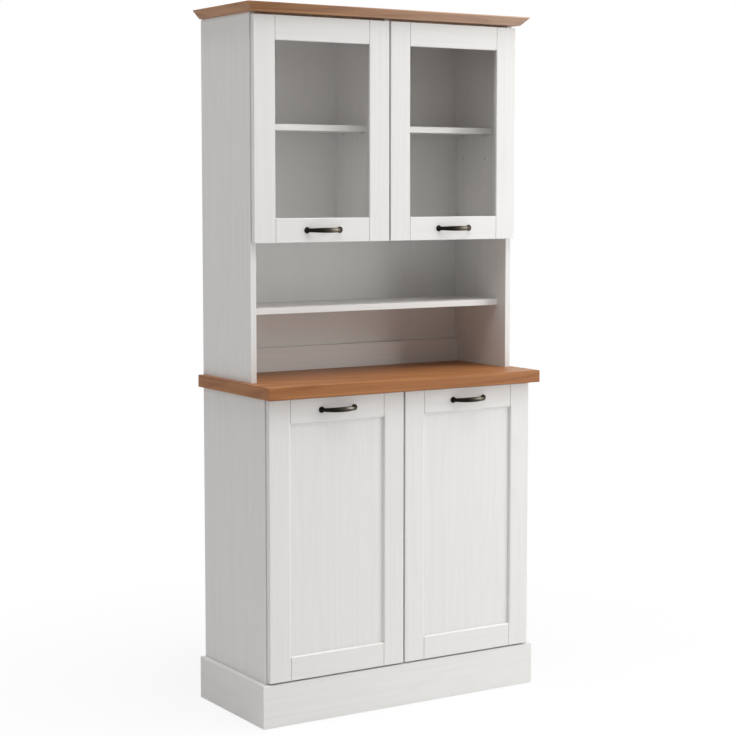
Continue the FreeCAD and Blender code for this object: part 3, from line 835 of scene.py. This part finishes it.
class CUPBOARD_OT_handles(bpy.types.Operator):
    """Model the bow handles: a reeded bar that swells in the middle, on two turned rosettes"""

    bl_idname = "cupboard.handles"
    bl_label = "Handles"
    bl_options = {"REGISTER", "UNDO"}

    # Rings of a rosette from the door outwards: share of its radius, height and how rubbed it is.
    rosette_rings = (
        (1.00, 0.0000, 0.2),
        (1.00, 0.0009, 0.5),
        (0.96, 0.0015, 1.0),
        (0.88, 0.0016, 0.9),
        (0.83, 0.0012, 0.1),
        (0.77, 0.0010, 0.0),
        (0.70, 0.0024, 0.5),
        (0.57, 0.0036, 0.8),
        (0.46, 0.0046, 0.4),
    )
    # How rubbed each rosette is; the right one's share is a little higher, a painted highlight.
    left_wear = 0.04
    right_wear_and_highlight = 0.05
    # Painted highlight along the bar: its most, where along the half span it begins and is full, how soon
    # before the right end it goes, and the share that is left there.
    bar_painted_highlight = 0.45
    highlight_start = -0.5
    highlight_full = 0.7
    highlight_end = 0.22
    highlight_left = 0.1
    # How rubbed the bar is elsewhere, and how much more so on the reeds.
    bar_rub = 0.01
    reed_rub = 0.012
    # The reeds run out where the bar's swell falls below one part in this many.
    reed_run_out = 3.0
    segments = 64
    stations = 40
    bow_turn = math.radians(75)

    def rosette(self, bm, layer, centre, side):
        """The loops of one rosette, from the door outwards."""
        loops = []
        worn_and_highlight = self.right_wear_and_highlight if side > 0 else self.left_wear
        out = Vector((side, 0.0, 0.0))
        for share, height, rub in self.rosette_rings:
            radius = ROSETTE_RADIUS * share
            at = centre + Vector((side * HANDLE_HALF_SPAN, -height, 0.0))
            matrix = placed(out * radius, Vector((0.0, 0.0, radius)), Vector((0.0, side, 0.0)), at)
            loop = loop_of(bm, matrix, self.segments)
            for vert in loop[0]:
                vert[layer] = rub * worn_and_highlight
            loops.append(loop)
        return loops

    def bar(self, bm, sizes, layer, centre):
        """The loops of the bar, from left to right."""
        loops = []
        rise = HANDLE_REACH - sizes.bar_thickness
        for station in range(self.stations + 1):
            turn = self.bow_turn * (2 * station / self.stations - 1)
            at = centre + Vector((HANDLE_HALF_SPAN * math.sin(turn), -rise * math.cos(turn), 0.0))
            ahead = Vector((HANDLE_HALF_SPAN * math.cos(turn), rise * math.sin(turn), 0.0)).normalized()
            out = Vector((ahead.y, -ahead.x, 0.0))
            swell = math.cos(turn) ** 2
            tall = sizes.bar_end + (sizes.bar_middle - sizes.bar_end) * swell
            matrix = placed(out * sizes.bar_thickness, Vector((0.0, 0.0, tall)), ahead, at)
            loop = loop_of(bm, matrix, self.segments)
            depth = sizes.reed_depth * min(1.0, self.reed_run_out * swell)
            # Painted highlight: the bar is painted lighter along its right half and dimmer again at the
            # very end; the rub on the reeds is real wear.
            share = turn / self.bow_turn
            along = (share - self.highlight_start) / (self.highlight_full - self.highlight_start)
            grown = min(1.0, max(0.0, along)) ** 2
            kept = min(1.0, self.highlight_left + (1.0 - share) / self.highlight_end)
            worn_and_highlight = self.bar_painted_highlight * grown * kept
            for number, vert in enumerate(loop[0]):
                wave = math.cos(sizes.bar_reeds * math.tau * number / self.segments)
                vert.co = at + (vert.co - at) * (1.0 - depth * (1.0 - wave) / 2)
                vert[layer] = self.bar_rub + self.reed_rub * wave + worn_and_highlight
            loops.append(loop)
        return loops

    def execute(self, context):
        sizes = context.scene.cupboard_sizes
        for door in DOORS:
            node = f"{door}_handle"
            low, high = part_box(node)
            centre = Vector(((low.x + high.x) / 2, high.y, (low.z + high.z) / 2))
            bm = bmesh.new()
            layer = bm.verts.layers.float.new(RUB_AND_HIGHLIGHT)
            left = self.rosette(bm, layer, centre, -1.0)
            right = self.rosette(bm, layer, centre, 1.0)
            sweep(bm, left + self.bar(bm, sizes, layer, centre) + right[::-1])
            show(bm, f"bow_{node}", node, finish("bronze"))
        return {"FINISHED"}


class CUPBOARD_OT_hinges(bpy.types.Operator):
    """Ease the hinge arms and plates, and clamp each arm with two screws"""

    bl_idname = "cupboard.hinges"
    bl_label = "Hinges"
    bl_options = {"REGISTER", "UNDO"}

    # Places of the clamp screws along an arm, as shares of its length from the rear.
    clamp_shares = (0.16, 0.50)
    shortest_edge = 0.004

    def clamp(self, arms, sizes):
        """Clamp screws on the inner faces of the arms."""
        bm = bmesh.new()
        for verts in solids(arms):
            low, high = corners(verts)
            left = low.x < 0
            face = high.x if left else low.x
            ahead = Vector((1.0 if left else -1.0, 0.0, 0.0))
            for share in self.clamp_shares:
                at = Vector((face, high.y - share * (high.y - low.y), (low.z + high.z) / 2))
                screw_head(bm, at, ahead, sizes.clamp_radius, sizes.screw_head, sizes.recess_depth)
        return bm

    def execute(self, context):
        sizes = context.scene.cupboard_sizes
        for node in ("hinge_arms", "hinge_plates"):
            bm = whole_copy(node)
            if node == "hinge_arms":
                show(self.clamp(bm, sizes), "hinge_clamp_screws", node, finish("zinc"), instead=False)
            ease(bm, sizes.metal_arris, self.shortest_edge)
            show(bm, f"eased_{node}", node, finish("steel"))
        for door in DOORS:
            finish_node(f"{door}_hinge_cups_and_pins", finish("steel"))
        return {"FINISHED"}


class CUPBOARD_OT_screws(bpy.types.Operator):
    """Turn the screws: a domed head with a cross recess on a pointed shank"""

    bl_idname = "cupboard.screws"
    bl_label = "Screws"
    bl_options = {"REGISTER", "UNDO"}

    # Share of the shank's length where its point starts.
    point_start = 0.75

    def screw(self, bm, verts, sizes):
        """One screw in the place of a plain one."""
        low, high = corners(verts)
        axis = max(range(3), key=lambda each: high[each] - low[each])
        across = [each for each in range(3) if each != axis]
        middle = (low + high) / 2
        reach = {}
        for end in (low[axis], high[axis]):
            rim = [vert.co - middle for vert in verts if abs(vert.co[axis] - end) < WELD]
            reach[end] = max(math.hypot(*[place[each] for each in across]) for place in rim)
        head = max(reach, key=reach.get)
        tip = min(reach, key=reach.get)
        ahead = Vector((0.0, 0.0, 0.0))
        ahead[axis] = math.copysign(1.0, head - tip)
        seat = middle.copy()
        seat[axis] = head - ahead[axis] * sizes.screw_head
        deep = abs(head - tip) - sizes.screw_head
        shank = ((reach[tip], 0.0), (reach[tip], -self.point_start * deep), (0.0, -deep))
        screw_head(bm, seat, ahead, reach[head], sizes.screw_head, sizes.recess_depth, shank)

    def execute(self, context):
        sizes = context.scene.cupboard_sizes
        for node in ["carcass_screws"] + [f"{door}_screws" for door in DOORS]:
            plain = whole_copy(node)
            bm = bmesh.new()
            for verts in solids(plain):
                self.screw(bm, verts, sizes)
            plain.free()
            show(bm, f"turned_{node}", node, finish("zinc"))
        return {"FINISHED"}


class CUPBOARD_OT_pins(bpy.types.Operator):
    """Turn the shelf pins, each with a collar that stops it at its board"""

    bl_idname = "cupboard.pins"
    bl_label = "Shelf pins"
    bl_options = {"REGISTER", "UNDO"}

    collar_thickness = 0.0007
    end_round = 0.0005
    # Pins from both sides of the partition stop this short of its middle.
    end_gap = 0.0001
    steps = 24

    def execute(self, context):
        sizes = context.scene.cupboard_sizes
        node = "shelf_pins"
        # The plain pins are only measured. They aren't welded, because two of them meet end to end in the
        # partition, so their ends are loose discs, which are passed over.
        plain = bmesh.new()
        plain.from_mesh(frame["nodes"][node].data)
        bm = bmesh.new()
        for verts in solids(plain):
            low, high = corners(verts)
            run = high.x - low.x
            if run < sizes.pin_grip:
                continue
            radius = (high.y - low.y) / 2
            ends = sorted((low.x, high.x), key=abs)
            in_partition = abs(ends[0]) < sizes.pin_grip
            held, free = ends if in_partition else ends[::-1]
            at = Vector((held, (low.y + high.y) / 2, (low.z + high.z) / 2))
            stop = sizes.pin_grip + self.collar_thickness
            profile = (
                (0.0, self.end_gap),
                (radius - self.end_round, self.end_gap),
                (radius, self.end_gap + self.end_round),
                (radius, sizes.pin_grip),
                (radius + sizes.pin_collar, sizes.pin_grip),
                (radius + sizes.pin_collar, stop),
                (radius, stop),
                (radius, run - self.end_round),
                (radius - self.end_round, run),
                (0.0, run),
            )
            turned(bm, profile, standing(at, Vector((free - held, 0.0, 0.0))), self.steps)
        plain.free()
        show(bm, f"turned_{node}", node, finish("zinc"))
        return {"FINISHED"}


class CUPBOARD_OT_fittings(bpy.types.Operator):
    """Give the cams their sunk faces, and the dowels their grain"""

    bl_idname = "cupboard.fittings"
    bl_label = "Cams and dowels"
    bl_options = {"REGISTER", "UNDO"}

    # How far a cam's faces are sunk, and the area that tells them from its other faces.
    sunk = 0.0004
    smallest_cam_face = 0.00012

    def execute(self, context):
        sizes = context.scene.cupboard_sizes
        bm = whole_copy("cam_fittings")
        ends = [face for face in bm.faces if face.calc_area() > self.smallest_cam_face]
        bmesh.ops.inset_individual(
            bm, faces=ends, thickness=sizes.cam_rim, depth=-self.sunk, use_even_offset=True
        )
        show(bm, "sunk_cam_fittings", "cam_fittings", finish("zinc"))
        bm = whole_copy("wood_dowels")
        lay_grain(bm, "wood_dowels")
        show(bm, "beech_dowels", "wood_dowels", finish("beech"))
        return {"FINISHED"}


class CUPBOARD_OT_pads(bpy.types.Operator):
    """Dome the floor glides and the door bumpers"""

    bl_idname = "cupboard.pads"
    bl_label = "Glides and bumpers"
    bl_options = {"REGISTER", "UNDO"}

    def execute(self, context):
        for node, axis, material in (("floor_glides", Z, "glide"), ("door_bumpers", Y, "bumper")):
            plain = whole_copy(node)
            bm = bmesh.new()
            for verts in solids(plain):
                low, high = corners(verts)
                at = (low + high) / 2
                at[axis] = high[axis]
                ahead = Vector((0.0, 0.0, 0.0))
                ahead[axis] = -1.0
                domed_pad(bm, at, ahead, (high.x - low.x) / 2, high[axis] - low[axis])
            plain.free()
            show(bm, f"domed_{node}", node, finish(material))
        return {"FINISHED"}


class CUPBOARD_OT_stage(bpy.types.Operator):
    """Lay the floor, light the cupboard and set the camera"""

    bl_idname = "cupboard.stage"
    bl_label = "Floor, light and camera"
    bl_options = {"REGISTER", "UNDO"}

    # Half the floor's side, the distances from the middle between which it turns white, and the share of
    # white that it starts from.
    floor_reach = 9.0
    fade_near = 0.3
    fade_far = 1.6
    fade_share = 0.84
    # The middle of the dark card, its width and height, and its grey.
    card_at = Vector((2.217, -3.0, 1.595))
    card_size = (0.55, 0.83)
    card_grey = 0.05
    # The soft boxes: width, height and place of each, and the point that all of them face.
    side_box = (1.7, 2.6, (2.82, -1.91, 1.66))
    top_box = (5.0, 5.0, (0.0, -1.70, 6.75))
    left_box = (3.0, 3.0, (-3.41, 0.45, 2.95))
    lit_point = Vector((0.0, -0.15, 0.95))
    sensor_width = 36.0

    @staticmethod
    def seen(tree):
        """1 on the rays that see the background: the camera's, mirrored and through glass."""
        path = add(tree, "ShaderNodeLightPath")
        rays = maths(tree, "MAXIMUM", path.outputs["Is Camera Ray"], path.outputs["Is Glossy Ray"])
        return maths(tree, "MAXIMUM", rays, path.outputs["Is Transmission Ray"])

    def lay_floor(self, stage):
        """A pale floor that fades to white and keeps the cupboard's shadow."""
        bm = bmesh.new()
        bmesh.ops.create_grid(bm, x_segments=2, y_segments=2, size=self.floor_reach)
        material, tree = start("studio_floor")
        reach = add(tree, "ShaderNodeVectorMath", {0: object_place(tree)}, operation="LENGTH")
        inputs = {
            "Value": reach.outputs["Value"],
            "From Min": self.fade_near,
            "From Max": self.fade_far,
            "To Min": self.fade_share,
        }
        fade = add(tree, "ShaderNodeMapRange", inputs).outputs[0]
        matt = add(tree, "ShaderNodeBsdfDiffuse", {"Color": (*stage.floor, 1.0)})
        white = add(tree, "ShaderNodeEmission", {"Color": WHITE, "Strength": 1.0})
        share = maths(tree, "MULTIPLY", fade, self.seen(tree))
        mixed = add(tree, "ShaderNodeMixShader", {0: share, 1: matt.outputs[0], 2: white.outputs[0]})
        add(tree, "ShaderNodeOutputMaterial", {"Surface": mixed.outputs[0]})
        floor = new_object(bm, "studio_floor", material)

    def light_room(self, scene, stage):
        """Even light all round, white where it is seen."""
        world = bpy.data.worlds.new("studio_room")
        world.use_nodes = True
        tree = world.node_tree
        tree.nodes.clear()
        room = add(tree, "ShaderNodeBackground", {"Color": WHITE, "Strength": stage.sky})
        white = add(tree, "ShaderNodeBackground", {"Color": WHITE, "Strength": 1.0})
        inputs = {0: self.seen(tree), 1: room.outputs[0], 2: white.outputs[0]}
        mixed = add(tree, "ShaderNodeMixShader", inputs)
        add(tree, "ShaderNodeOutputWorld", {"Surface": mixed.outputs[0]})
        scene.world = world

    def stand_card(self):
        """A dark card at the right, out of view, that the right-hand pane mirrors."""
        bm = bmesh.new()
        half_side = 0.5
        bmesh.ops.create_grid(bm, x_segments=1, y_segments=1, size=half_side)
        upright = Matrix.Translation(self.card_at) @ Matrix.Rotation(math.pi / 2, 4, "X")
        matrix = upright @ Matrix.Diagonal((*self.card_size, 1.0, 1.0))
        bmesh.ops.transform(bm, matrix=matrix, verts=bm.verts)
        material, tree = start("dark_card")
        matt = add(tree, "ShaderNodeBsdfDiffuse", {"Color": grey(self.card_grey)})
        add(tree, "ShaderNodeOutputMaterial", {"Surface": matt.outputs[0]})
        card = new_object(bm, "dark_card", material)
        card.visible_camera = False
        card.visible_diffuse = False
        card.visible_shadow = False

    def hang_lamp(self, name, watts, box):
        """A soft box that faces the cupboard."""
        wide, tall, at = box
        lamp = bpy.data.lights.new(name, "AREA")
        lamp.energy = watts
        lamp.shape = "RECTANGLE"
        lamp.size = wide
        lamp.size_y = tall
        holder = bpy.data.objects.new(name, lamp)
        holder.location = at
        holder.rotation_euler = (self.lit_point - Vector(at)).to_track_quat("-Z", "Y").to_euler()
        bpy.context.collection.objects.link(holder)

    def set_camera(self, scene, stage):
        """A camera that frames the cupboard as the photo does."""
        lens = bpy.data.cameras.new("photo_camera")
        lens.sensor_width = self.sensor_width
        lens.lens = stage.lens
        lens.shift_y = stage.shift
        camera = bpy.data.objects.new("photo_camera", lens)
        camera.location = stage.eye
        camera.rotation_euler = (math.pi / 2 - stage.tilt, 0.0, -stage.turn)
        bpy.context.collection.objects.link(camera)
        scene.camera = camera
        scene.view_settings.view_transform = "Standard"

    def execute(self, context):
        scene = context.scene
        stage = scene.cupboard_stage
        self.lay_floor(stage)
        self.stand_card()
        self.light_room(scene, stage)
        self.hang_lamp("side_lamp", stage.side_power, self.side_box)
        self.hang_lamp("top_lamp", stage.top_power, self.top_box)
        self.hang_lamp("left_lamp", stage.left_power, self.left_box)
        self.set_camera(scene, stage)
        return {"FINISHED"}


class CUPBOARD_PT_build(bpy.types.Panel):
    """The cupboard's pieces and settings"""

    bl_idname = "CUPBOARD_PT_build"
    bl_label = "Step back cupboard"
    bl_space_type = "VIEW_3D"
    bl_region_type = "UI"
    bl_category = "Cupboard"

    def draw(self, context):
        scene = context.scene
        for operator in OPERATORS:
            self.layout.operator(operator.bl_idname)
        for group in (scene.cupboard_sizes, scene.cupboard_colours, scene.cupboard_stage):
            box = self.layout.box()
            for name in group.__annotations__:
                box.prop(group, name)


OPERATORS = (
    CUPBOARD_OT_boards,
    CUPBOARD_OT_tops,
    CUPBOARD_OT_doors,
    CUPBOARD_OT_glazing,
    CUPBOARD_OT_handles,
    CUPBOARD_OT_hinges,
    CUPBOARD_OT_screws,
    CUPBOARD_OT_pins,
    CUPBOARD_OT_fittings,
    CUPBOARD_OT_pads,
    CUPBOARD_OT_stage,
)
CLASSES = (CupboardSizes, CupboardColours, CupboardStage, *OPERATORS, CUPBOARD_PT_build)


def register():
    """Register the classes and the settings on the scene."""
    for each in CLASSES:
        bpy.utils.register_class(each)
    bpy.types.Scene.cupboard_sizes = PointerProperty(type=CupboardSizes)
    bpy.types.Scene.cupboard_colours = PointerProperty(type=CupboardColours)
    bpy.types.Scene.cupboard_stage = PointerProperty(type=CupboardStage)


def unregister():
    """Take the settings and the classes away again."""
    del bpy.types.Scene.cupboard_stage
    del bpy.types.Scene.cupboard_colours
    del bpy.types.Scene.cupboard_sizes
    for each in reversed(CLASSES):
        bpy.utils.unregister_class(each)


def main():
    """Build the cupboard."""
    register()
    bpy.ops.cupboard.boards()
    bpy.ops.cupboard.tops()
    bpy.ops.cupboard.doors()
    bpy.ops.cupboard.glazing()
    bpy.ops.cupboard.handles()
    bpy.ops.cupboard.hinges()
    bpy.ops.cupboard.screws()
    bpy.ops.cupboard.pins()
    bpy.ops.cupboard.fittings()
    bpy.ops.cupboard.pads()
    bpy.ops.cupboard.stage()


if __name__ == "__main__":
    main()
